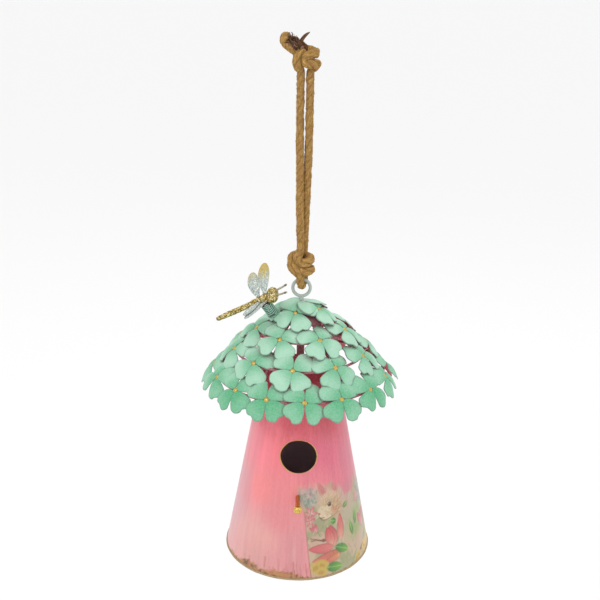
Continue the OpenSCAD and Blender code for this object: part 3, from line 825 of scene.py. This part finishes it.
def paint_rabbit(p, rng):
    """A small rabbit among the flowers, looking left, its ears fading into the pink above."""
    fur, shade, ink = (206, 180, 142), (172, 126, 88), (92, 52, 36)
    p.blob(54, 62, 15, 19, (196, 178, 158), 20, 0.4, 0.8)
    for x, y, lean, reach in ((30, 76, 116, 20), (42.5, 77, 96, 16)):
        p.leaf(x, y, reach, 3.6, lean, (206, 168, 138), (182, 104, 104), alpha=0.85, blunt=0.8)
        p.leaf(x, y + 1, reach * 0.85, 2.0, lean, (166, 98, 88), (190, 88, 96), alpha=0.75)
    p.blob(36, 70, 12.6, 12, fur, -10, 0.1)
    p.blob(28, 62.6, 8.4, 6.6, (222, 200, 168), -28, 0.2)
    p.blob(41.5, 67, 7, 10, (196, 152, 112), 0, 0.6, 0.65)
    p.blob(34, 77.5, 9, 4, (222, 200, 168), 0, 0.5, 0.7)
    for _ in range(260):
        a, r = rng.uniform(0, 2 * math.pi), math.sqrt(rng.uniform(0, 1))
        x, y = 35 + 12.4 * r * math.cos(a), 69 + 11.5 * r * math.sin(a)
        out = math.degrees(math.atan2(y - 64, x - 26)) + rng.uniform(-14, 14)
        tone = [(236, 220, 192), shade, (196, 164, 128)][rng.integers(3)]
        p.ray(x, y, rng.uniform(1.4, 3.2), out, 0.35, tone, 0.45)
    p.blob(33.6, 69.6, 3.2, 2.7, (234, 216, 188), -15, 0.3, 0.8)
    p.blob(33.6, 69.6, 2.3, 1.8, (112, 74, 30), -15, 0.25)
    p.blob(33.3, 69.5, 1.4, 1.3, (40, 24, 16), 0, 0.3)
    p.blob(32.8, 70.1, 0.4, 0.4, (236, 226, 210), 0, 0.4)
    p.line([(36.5, 68.5), (38, 66.5), (38, 64)], 0.7, shade, 0.7)
    p.line([(31, 70.2), (33.2, 72), (36.2, 71)], 0.5, ink, 0.8)
    p.blob(21.6, 62.6, 1.5, 1.0, (190, 104, 92), -25, 0.3)
    p.line([(21.2, 61.8), (21.4, 59.6), (23.4, 58.2), (26.6, 58.4)], 0.6, ink, 0.85)
    p.line([(22.2, 58.6), (24.4, 56.4), (29, 55.8), (34.5, 57.4)], 0.6, ink, 0.6)
    p.line([(34.5, 57.4), (41, 59.2), (45, 64)], 0.6, shade, 0.8)
    for dy in (-2.0, 0.2, 2.2):
        p.line([(23.5, 61), (17.5, 60.4 + dy), (13.5, 59.4 + dy * 2.1)], 0.3, (240, 230, 210), 0.7)
    p.blob(39.4, 63.4, 3.8, 2.8, (212, 130, 98), 0, 0.6, 0.5)


def paper_edge(h):
    """Where the paper begins, which leans a little, and wanders left where it fades out above."""
    return 11.3 - 0.078 * h - 4.0 * smoothstep(h, 64, 76)


# Where the paper ends, round the back, and how high its print stands at turns round the wall
PAPER_END = 187.0
PRINT_AZ = (0, 8, 16, 24, 38, 46, 52, 66, 90, 130, 160, 190)
PRINT_TOP = (86, 90, 90, 88, 86, 80, 72, 74, 82, 72, 80, 70)


def paint_backing(p, fade):
    """The paper's own colours: stone, grey-green, blush and moss, greener right of the rabbit."""
    left = smoothstep(p.az, p.edge - p.edge_soft, p.edge + p.edge_soft)
    p.cover = left * (1 - smoothstep(p.az, PAPER_END, PAPER_END + 0.8)) * (1 - smoothstep(fade, -5, 4))
    p.lay((204, 180, 152), 0.92)
    p.stain((176, 176, 146), 0.8, 0.05, 0.05, 23, 0.45, 0.7)
    p.stain((206, 164, 146), 0.6, 0.06, 0.04, 24, 0.5, 0.75)
    p.stain((138, 156, 104), 0.6, 0.09, 0.08, 25, 0.52, 0.72)
    band = smoothstep(p.x, 46, 58) * (1 - smoothstep(p.x, 76, 88)) * (1 - smoothstep(np.abs(p.y - 44), 8, 24))
    p.lay((156, 174, 100), 0.85 * band * p.noise(0.2, 0.12, 41) * 1.4)


def paint_big_petals(p):
    """The large pink tulip and the flower that lies on its side under the rabbit, with their leaves."""
    pink, red = (222, 150, 132), (196, 58, 72)
    petals = ((35.5, 29, 21, 99, 6.4, pink, red), (33.4, 31, 18, 104, 5.2, pink, red),
              (43.2, 32, 26, 86, 4.3, (224, 164, 142), (204, 74, 78)),
              (34, 28, 24, 176, 5.0, (216, 118, 112), (206, 78, 94)),
              (43, 21.5, 30, 188, 5.2, (196, 108, 66), (206, 96, 98)),
              (41, 18.5, 17, 192, 3.4, (212, 150, 96), (200, 88, 80)))
    for x, y, size, turn, width, root, tip in petals:
        p.leaf(x, y, size, width, turn, root, tip, None, 0.95, 0.75)
    leaves = ((36.5, 27.6, 16.5, -28, 4.4), (25.5, 10, 17, -10, 4.8), (50, 62, 9, 20, 2.6),
              (39.5, 52, 7, 165, 3.0), (60, 30, 16, 100, 2.6), (66, 38, 15, 84, 2.8))
    for x, y, size, turn, width in leaves:
        p.leaf(x, y, size, width, turn, (36, 108, 26), (112, 178, 48), (206, 220, 150), 0.92)
    for root, bend, tip in (((12.5, 40), (18, 38.5), (25.5, 36.5)), ((13, 37.6), (18, 38), (24, 36))):
        p.line([root, bend, tip], 0.5, (112, 58, 50), 0.85)
    p.blob(25, 36.6, 2.2, 1.5, (128, 56, 52), -10, 0.3, 0.9)
    buds = ((18.5, 12, 7.6, 30), (23.5, 13.5, 5.6, -30), (22, 7, 5.4, 0), (62, 5, 4.6, 60), (66, 7, 3.4, 0))
    for x, y, r, turn in buds:
        p.blob(x, y, r, r * 0.8, (206, 174, 70), turn, 0.25, 0.9)
        p.blob(x - 1, y - 1, r * 0.5, r * 0.35, (176, 132, 46), turn, 0.5, 0.6)
    p.leaf(68, 9, 9, 1.6, 20, (104, 56, 34), (126, 66, 48), alpha=0.8)


def paint_paper(p):
    """The printed paper from the seam round: flowers, leaves and the rabbit, feathered out above."""
    rng = np.random.default_rng(7)
    ragged = (p.noise(0.16, 0.06, 21) - 0.5) * 18 + (p.noise(0.7, 0.25, 22) - 0.5) * 7
    fade = p.y - np.interp(p.az, PRINT_AZ, PRINT_TOP) - ragged
    p.edge = paper_edge(p.y)
    p.edge_soft = 0.4 + 3.5 * smoothstep(p.y, 64, 72)
    paint_backing(p, fade)
    for _ in range(46):
        x, y = rng.uniform(50, 202), rng.uniform(4, 74)
        p.leaf(x, y, rng.uniform(9, 18), rng.uniform(1.6, 3.4), rng.uniform(20, 160),
               (138, 160, 92), (176, 184, 126), (110, 136, 72), 0.5)
    for x, y, rx, ry in ((11, 80, 10, 9), (88, 62, 12, 11), (132, 46, 13, 11), (176, 58, 11, 12)):
        paint_hydrangea(p, x, y, rx, ry, rng)
    paint_rabbit(p, rng)
    for x, y, size in ((12.5, 64, 8), (11.5, 57, 6), (108, 66, 9), (152, 64, 8), (76, 62, 7), (192, 44, 9)):
        paint_lily(p, x, y, size, rng)
    paint_tulip(p, 19, 46, 9, 128, (196, 66, 80))
    paint_tulip(p, 82, 28, 20, 96, (202, 82, 90))
    paint_tulip(p, 122, 22, 20, 78, (210, 100, 86))
    paint_tulip(p, 160, 26, 19, 104, (198, 74, 88))
    paint_big_petals(p)
    for x, y, size in ((78, 8, 7), (92, 10, 9), (106, 16, 7), (140, 10, 9), (172, 12, 8), (186, 18, 7)):
        paint_primrose(p, x, y, size, rng)
    for _ in range(140):
        x, y = rng.uniform(8, 202), rng.uniform(3, 74)
        a, reach = rng.uniform(50, 130), rng.uniform(2, 7)
        tone = ((128, 92, 62), (120, 146, 84), (236, 226, 204))[rng.integers(3)]
        p.ray(x, y, reach, a, 0.3, tone, 0.5)
    p.lay((236, 160, 166), 0.35 * smoothstep(fade, -22, 2))
    p.cover = np.ones(p.x.shape)
    seam = 1 - smoothstep(np.abs(p.az - p.edge), 0.2, 0.9)
    p.lay((168, 112, 98), 0.5 * seam * (1 - smoothstep(p.y, 60, 70)))


def paint_wear(p):
    """Gilt worn through at the foot, in short upward scratches, and a little round the entrance."""
    scratch = p.noise(0.9, 0.05, 31, 4)
    patch = p.noise(0.05, 0.02, 32, 2)
    crust = np.exp(-(((p.x + 6) / 11) ** 2)) + 0.8 * np.exp(-(((p.x + 44) / 8) ** 2))
    reach = 2.2 + 5.5 * crust + 8 * np.clip(patch - 0.35, 0, 1) + 5 * (scratch - 0.5)
    worn = 1 - smoothstep(p.y, reach - 1, reach + 1)
    p.lay((176, 134, 58), 0.9 * worn)
    p.lay((84, 62, 34), 0.75 * worn * smoothstep(p.noise(0.5, 0.4, 33), 0.48, 0.66))
    rng = np.random.default_rng(34)
    for _ in range(95):
        x, y = rng.uniform(-52, 14), rng.uniform(-1, 9)
        high = rng.uniform(3, 12)
        p.line([(x, y), (x + rng.uniform(-0.3, 0.3), y + high)], 0.16, (160, 88, 74), rng.uniform(0.15, 0.5))


# How the varnish deepens the pink paint, and the printed paper
VARNISH_PINK = np.array((0.98, 0.78, 0.80))
VARNISH_PAPER = np.array((0.82, 0.82, 0.76))
HOLE_WALL_R = FOOT_R - TAPER * HOLE_H
PAPER_PROUD = 0.22
LIP_BAND = 1.6


def paper_cover(az, h, low, high):
    """1 on the printed paper and 0 off it, fading out between heights low and high."""
    return smoothstep(az - paper_edge(h), -0.4, 0.4) * (1 - smoothstep(h, low, high))


def make_wall():
    """The wall: a fine grid that carries the paint, cut out round the entrance, as thick as its sheet."""
    az = np.concatenate([np.arange(-172, -1.5, 1.5), np.arange(-1.5, 188, 0.5)])
    h = np.concatenate([np.arange(1.0, 140, 0.7), np.arange(140, WALL_H / MM + 0.01, 2.05)])
    az, h = np.meshgrid(az, h)
    p = Picture(az, h)
    paint_ground(p)
    paint_paper(p)
    paint_wear(p)
    # points inside the entrance go, and those just inside its edge are pushed out onto it
    hole = HOLE_R / MM
    x = np.radians((az + 180) % 360 - 180) * HOLE_WALL_R / MM
    y = h - HOLE_H / MM
    d = np.hypot(x * HOLE_R / HOLE_W, y)
    push = np.where((d < hole) & (d > hole - LIP_BAND), hole / np.maximum(d, 1e-6), 1.0) - 1
    a = np.radians(az + np.degrees(x * push / (HOLE_WALL_R / MM)))
    paper = paper_cover(az, h, 66, 92) * (1 - smoothstep(az, PAPER_END, PAPER_END + 0.8))
    r = (FOOT_R - TAPER * h * MM) / MM + PAPER_PROUD * paper
    verts = np.stack([r * np.sin(a), -r * np.cos(a), h + y * push], 2).reshape(-1, 3) * MM + (0, 0, FOOT_Z)
    inside = (d < hole - 1e-6).ravel()
    faces = [f for f in grid_faces(*az.shape, wrap=True) if not all(inside[v] for v in f)]
    used = np.unique(np.array(faces))
    renumber = np.full(az.size, -1)
    renumber[used] = np.arange(len(used))
    wall = mesh_object("painted_wall", verts[used], renumber[np.array(faces)].tolist(), wall_paint(),
                       painted("wall_inside", srgb(232, 200, 208), 0.7, 400))
    cover = paper_cover(az, h, 76, 92).reshape(-1, 1)[used]
    paint = linear(np.clip(p.rgb, 0, 255).reshape(-1, 3)[used])
    set_attribute(wall, "paint", paint * (VARNISH_PINK + (VARNISH_PAPER - VARNISH_PINK) * cover))
    solid = wall.modifiers.new("sheet", "SOLIDIFY")
    solid.thickness = SHEET
    solid.offset = -1
    solid.material_offset = 1
    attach(wall, "house")
    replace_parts(wall, "body_shell", "picture_wrap")


def wall_paint():
    """Brushed paint under varnish: the painted colours with fine vertical bristle marks."""
    s = Shader("wall_paint", coat_weight=0.25, coat_roughness=0.25)
    place = s.place()
    colour = s.attribute("paint")
    bristle = s.noise(s.scaled(place, (1500, 1500, 60)), 1.0, 5.0, 0.6)
    speck = s.noise(place, 900, 4.0, 0.6)
    tone = s.mix(s.remap(bristle, 0.3, 0.7, 0.0, 0.08), colour, (1.0, 0.93, 0.92))
    tone = s.mix(s.remap(speck, 0.55, 0.8, 0.0, 0.2), tone, s.times(tone, (0.8, 0.72, 0.72)))
    s.link(tone, "Base Color")
    s.link(s.remap(bristle, 0.3, 0.7, 0.34, 0.5), "Roughness")
    s.bump(bristle, 0.00012, 0.5)
    return s.material


def wall_point(x, h, proud=0.0):
    """A point on the wall x metres round it from the entrance's middle, at height h."""
    a = x / HOLE_WALL_R
    r = FOOT_R - TAPER * h + proud
    return (r * math.sin(a), -r * math.cos(a), FOOT_Z + h)


def make_wall_edges():
    """The gilt lip round the entrance and the worn rolled hem at the foot."""
    gilt = metal("gilt_edge", srgb(226, 184, 110), srgb(120, 74, 40), 0.3, 1200)
    rng = np.random.default_rng(5)
    turn = np.linspace(0, 2 * math.pi, 96, endpoint=False)
    rough = 0.00042 + 0.00022 * np.interp(turn, np.linspace(0, 2 * math.pi, 24), rng.uniform(-1, 1, 24))
    lip = [wall_point(HOLE_W * math.cos(a), HOLE_H + HOLE_R * math.sin(a), -0.0001) for a in turn]
    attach(tube("entrance_lip", lip, rough, gilt, closed=True), "house")
    hem_gilt = painted("hem_paint", srgb(158, 128, 78), 0.45, 500, srgb(74, 58, 34))
    turn = np.linspace(0, 2 * math.pi, 220, endpoint=False)
    wobble = 0.0011 + 0.00005 * np.sin(turn * 17) + 0.00004 * np.sin(turn * 41)
    r = FOOT_R - 0.0004
    hem = [(r * math.sin(a), -r * math.cos(a), FOOT_Z + 0.0012) for a in turn]
    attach(tube("rolled_hem", hem, wobble, hem_gilt, closed=True), "house")


make_wall()
make_wall_edges()


# ---------------------------------------------------------------- dragonfly

SPRING_AZ, SPRING_S = -66, 0.0295
SEAT_TOP = 0.005
SPRING_H = 0.0132
SPRING_TOP = SEAT_TOP + SPRING_H
FLY = (Matrix.Translation(dome_place(SPRING_AZ, SPRING_S, SPRING_TOP + 0.0046).translation)
       @ turned(-10, "Z") @ turned(-28, "Y") @ turned(24, "X"))
GOLD = (srgb(112, 90, 34), srgb(204, 174, 88), srgb(255, 248, 206))
SILVER = (srgb(158, 174, 172), srgb(206, 216, 210), srgb(250, 250, 240), srgb(206, 184, 108))


def in_fly(points):
    """Points in the dragonfly's own millimetres, taken to the frame."""
    return moved(np.array(points, float) * MM, FLY)


def lathe(name, profile, material, across=None, around=32):
    """A round body along the dragonfly's x, or across it at a given x, from [distance, radius] points."""
    profile = np.array(profile, float)
    a = np.linspace(0, 2 * math.pi, around, endpoint=False)
    d = np.repeat(profile[:, 0], around)
    r = np.repeat(profile[:, 1], around)
    t = np.tile(a, len(profile))
    rough = 1 + 0.02 * np.sin(t * 5 + d * 3.1) + 0.015 * np.sin(t * 9 - d * 4.7)
    local = np.stack([d, r * rough * np.cos(t), r * rough * np.sin(t)], 1)
    if across is not None:
        local = np.stack([across - local[:, 1] * 1.05, local[:, 0], local[:, 2]], 1)
    faces = grid_faces(len(profile), around, wrap=True) + end_caps(len(profile), around)
    return mesh_object(name, in_fly(local), faces, material)


def make_body(gold):
    """Tail of ringed segments, a waisted thorax and a head that is mostly two round eyes."""
    x = np.linspace(-48, -0.8, 190)
    t = (x + 48) / 47.2
    seg = np.abs(np.sin(t * math.pi * 9)) ** 0.35
    radius = 2.2 + 0.5 * smoothstep(t, 0, 0.35) + 0.7 * smoothstep(x, -14, -7)
    radius = radius * (0.86 + 0.14 * seg) * (0.72 + 0.28 * smoothstep(t, -0.02, 0.05))
    tail = lathe("dragonfly_tail_look", np.stack([x, radius], 1), gold)
    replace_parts(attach(tail, "dragonfly"), "dragonfly_tail")
    x = np.linspace(-1.4, 6.4, 60)
    t = (x + 1.4) / 7.8
    rings = 0.18 * np.abs(np.sin(t * math.pi * 4)) ** 6
    radius = 3.0 + 1.2 * np.clip(np.sin(math.pi * t), 0, 1) ** 0.7 - rings
    thorax = lathe("dragonfly_thorax_look", np.stack([x, radius], 1), gold)
    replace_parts(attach(thorax, "dragonfly"), "dragonfly_thorax")
    a = np.linspace(0.10, math.pi - 0.10, 50)
    y = -8.6 * np.cos(a)
    radius = 5.3 * np.sin(a) ** 0.75 * (1 - 0.20 * np.exp(-((y / 1.5) ** 2)))
    head = lathe("dragonfly_head_look", np.stack([y, radius], 1), gold, across=10.4)
    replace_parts(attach(head, "dragonfly"), "dragonfly_head")


# Each wing: root point, side, rise, sweep, length and the CAD node it stands for
WINGS = {"front_far": ((4.2, 2.0, 3.4), 1, 22, 11, 31.0, "front_wings"),
         "front_near": ((3.0, -3.2, -1.2), -1, 21, -31, 30.0, "front_wings"),
         "hind_far": ((-2.5, 1.6, 3.0), 1, 21, -4, 27.2, "hind_wings"),
         "hind_near": ((-2.6, -2.6, 0.8), -1, 20, -27, 23.5, "hind_wings")}
WING_W = 13.0


def wing_shape(root, side, rise, sweep, length):
    """Points of a wing, a grid of steps along by steps across, cupped and a little drooped."""
    steps, across = 36, 17
    t = np.linspace(0, 1, steps)[:, None]
    u = np.linspace(-1, 1, across)[None, :]
    chord = WING_W / 2 * np.clip(np.sin(math.pi * np.clip(t, 0, 1) ** 1.1), 0, 1) ** 0.55
    chord = np.maximum(chord * (0.62 + 0.42 * t), 1.6 * (1 - t) ** 0.2)
    x = length * t + 0 * u
    y = chord * u + 0.8 * np.sin(math.pi * t)
    z = 1.1 * np.sin(math.pi * t) * (1 - u**2) + 0.16 * np.sin(u * 11) * np.sin(math.pi * t) ** 0.5
    local = np.stack([x, y, z + 0 * x], 2).reshape(-1, 3)
    if side < 0:
        local = local * (1, -1, 1)
    turn = turned(side * rise, "X") @ turned(side * (90 - sweep), "Z")
    return moved(local, turn) + root, steps, across, np.repeat(t[:, 0], across)


def vein_lines(lines):
    """The veins of a wing: for each its points, radii and sides, and how near the tip each point is."""
    steps, across = lines.shape[:2]
    for column in (0, 3, 6, 10, 13, 16):
        n = steps - (1 if column in (0, 16) else 3)
        yield lines[:n, column], np.linspace(0.00046, 0.00026, n), 8, np.linspace(0, n / steps, n)
    for row in range(9, steps - 2, 4):
        yield lines[row, 1:across - 1], 0.00020, 6, np.full(across - 2, row / steps)


def make_wings(silver):
    """Four stamped wings with raised veins and gilt tips."""
    for name, (root, side, rise, sweep, length, node) in WINGS.items():
        points, steps, across, t = wing_shape(root, side, rise, sweep, length)
        gilt = {"front_far": 1.25, "hind_far": 0.85}.get(name, 0.45)
        wing = mesh_object("wing_" + name, in_fly(points), grid_faces(steps, across), silver)
        set_attribute(wing, "tip", np.clip(t * gilt - 0.28, 0, 1))
        solid = wing.modifiers.new("sheet", "SOLIDIFY")
        solid.thickness = 0.0005
        solid.offset = 0
        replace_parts(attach(wing, "dragonfly"), node)
        lines = points.reshape(steps, across, 3)
        lift = np.cross(lines[5, 10] - lines[5, 6], lines[9, 8] - lines[1, 8])
        lift = lift / np.linalg.norm(lift) * (0.15 if lift[2] > 0 else -0.15)
        verts, faces, tip, count = [], [], [], 0
        for line, radius, sides, near_tip in vein_lines(lines + lift):
            ring, skin = tube_mesh(in_fly(line), radius, sides=sides, start=count)
            verts.append(ring)
            faces += skin
            tip.append(near_tip.repeat(sides))
            count += len(ring)
        veins = mesh_object("veins_" + name, np.vstack(verts), faces, silver)
        set_attribute(veins, "tip", np.clip(np.concatenate(tip) * gilt - 0.2, 0, 1))
        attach(veins, "dragonfly")


def make_antennae():
    """Two short stout feelers with dark rounded tips."""
    tips = metal("antenna_tip", srgb(120, 116, 104), srgb(60, 58, 52), 0.4)
    feeler_gold = metal("feeler_gold", srgb(190, 184, 158), srgb(120, 106, 72), 0.4)
    for side, name in ((1, "left"), (-1, "right")):
        root = Vector((14.2, side * 3.4, 0.8))
        way = turned(side * 10, "Z") @ Vector((math.cos(0.10), 0, -math.sin(0.10)))
        line = [root + way * d + Vector((0, 0, 0.008 * d * d)) for d in np.linspace(0, 11.4, 14)]
        thick = np.linspace(0.00095, 0.0008, 14)
        feeler = tube(f"antenna_{name}", in_fly(line), thick, feeler_gold, sides=10)
        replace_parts(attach(feeler, "dragonfly"), "antennae")
        thick = (0.00075, 0.001, 0.0009, 0.0004)
        club = tube(f"antenna_tip_{name}", in_fly(line[-4:]), thick, tips, sides=12)
        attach(club, "dragonfly")


def make_spring():
    """A close coil between its seat and the thorax, whose last turn runs in to the middle. Its wire is
    painted dark where it faces into the coil, as painted shade, and light on its outer side, as painted
    light.
    """
    green = painted("spring_paint_and_shade", "tint", 0.6, 1500)
    seat_green = painted("spring_seat_paint", srgb(104, 158, 134), 0.35, 1500, srgb(40, 78, 64))
    coil, wire, turns = 0.0046, 0.00074, 6
    steps = 26
    seat = dome_place(SPRING_AZ, SPRING_S, SEAT_TOP)
    i = np.arange(turns * steps + 1)
    rise = wire + (SPRING_H - 2 * wire) * i / (turns * steps)
    k = np.arange(1, 13)
    a = 2 * math.pi * np.concatenate([i, k]) / steps
    r = coil * np.concatenate([np.ones(len(i)), 1 - k / 13])
    rise = np.concatenate([rise, SPRING_H - wire + 0.0012 * (k / 12) ** 2])
    spring = tube("coil_spring", moved(np.stack([r * np.cos(a), r * np.sin(a), rise], 1), seat),
                  wire, green, sides=10)
    place = np.array(seat)
    # painted shade and light: the wire's colour goes from near black where it faces the coil's inside to
    # light green on its outer side
    back = np.array([v.co for v in spring.data.vertices]) - place[:3, 3]
    outward = np.linalg.norm(back - np.outer(back @ place[:3, 2], place[:3, 2]), axis=1)
    shade = smoothstep(outward, coil + 0.1 * wire, coil + 0.85 * wire)[:, None]
    coil_inside_shade, outer = linear((6, 22, 18)), linear((128, 182, 158))
    set_attribute(spring, "tint", coil_inside_shade + (outer - coil_inside_shade) * shade)
    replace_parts(spring, "spring")
    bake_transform(spring)
    dress("spring_seat", seat_green)


gold_glitter = glitter("gold_glitter", GOLD, None)
silver_glitter = glitter("silver_glitter", SILVER, "tip", 1700, 0.35)
make_body(gold_glitter)
make_wings(silver_glitter)
make_antennae()
make_spring()


# ---------------------------------------------------------------- carried-over parts

zinc = metal("zinc", srgb(176, 178, 180), srgb(96, 96, 98), 0.35, 700)
FINISHES = (
    (painted("ring_paint", srgb(172, 184, 176), 0.35, 900, srgb(112, 104, 92)), "hanger_rod"),
    (painted("frame_paint", srgb(142, 72, 80), 0.5, 500, srgb(96, 66, 62)),
     "crown_plate", "spacer_tube", "canopy_ribs", "upper_hoop", "middle_hoop", "rim_hoop"),
    (painted("roof_paint", srgb(206, 84, 100), 0.45, 400), "inner_roof"),
    (zinc, "rod_washer", "rod_nut", "cover_rivet", "perch_nut"),
    (metal("gold_bead", srgb(214, 186, 104), srgb(104, 96, 44), 0.18, 1500), "flower_rivets"),
    (metal("perch_gold", srgb(236, 206, 110), srgb(130, 92, 44), 0.2, 900), "perch_ball"),
    (metal("perch_copper", srgb(222, 160, 104), srgb(140, 84, 50), 0.35, 900), "perch_peg"),
    (painted("floor_primer", srgb(176, 164, 166), 0.6, 300, srgb(120, 92, 78)),
     "floor_plate", "clean_out_cover"),
)
for finish, *nodes in FINISHES:
    for node in nodes:
        dress(node, finish)


# ---------------------------------------------------------------- floor and light

def make_stage():
    """A pale floor well below the hanging house, and soft light from above and the sides."""
    bpy.context.scene.view_settings.view_transform = "Standard"
    s = Shader("floor", roughness=0.9, base_color=(0.93, 0.93, 0.93))
    corners = [(-40, -40, 0), (40, -40, 0), (40, 40, 0), (-40, 40, 0)]
    floor = mesh_object("floor", corners, [(0, 1, 2, 3)], s.material, smooth=False)
    floor.location.z = FOOT_Z - 0.4
    world = bpy.data.worlds.new("world")
    world.use_nodes = True
    sky = world.node_tree.nodes["Background"]
    sky.inputs[0].default_value = (1, 1, 1, 1)
    sky.inputs[1].default_value = 1.0
    bpy.context.scene.world = world
    lights = (("key", (-0.9, -1.3, 1.5), 6), ("fill", (1.4, -1.0, 0.7), 1.5), ("back", (0.3, 1.4, 1.2), 3))
    for name, place, power in lights:
        data = bpy.data.lights.new(name, "AREA")
        data.size = 1.2
        data.energy = power
        light = bpy.data.objects.new(name, data)
        bpy.context.scene.collection.objects.link(light)
        light.location = place
        light.rotation_euler = (Vector((0, 0, -0.25)) - Vector(place)).to_track_quat("-Z", "Y").to_euler()


make_stage()
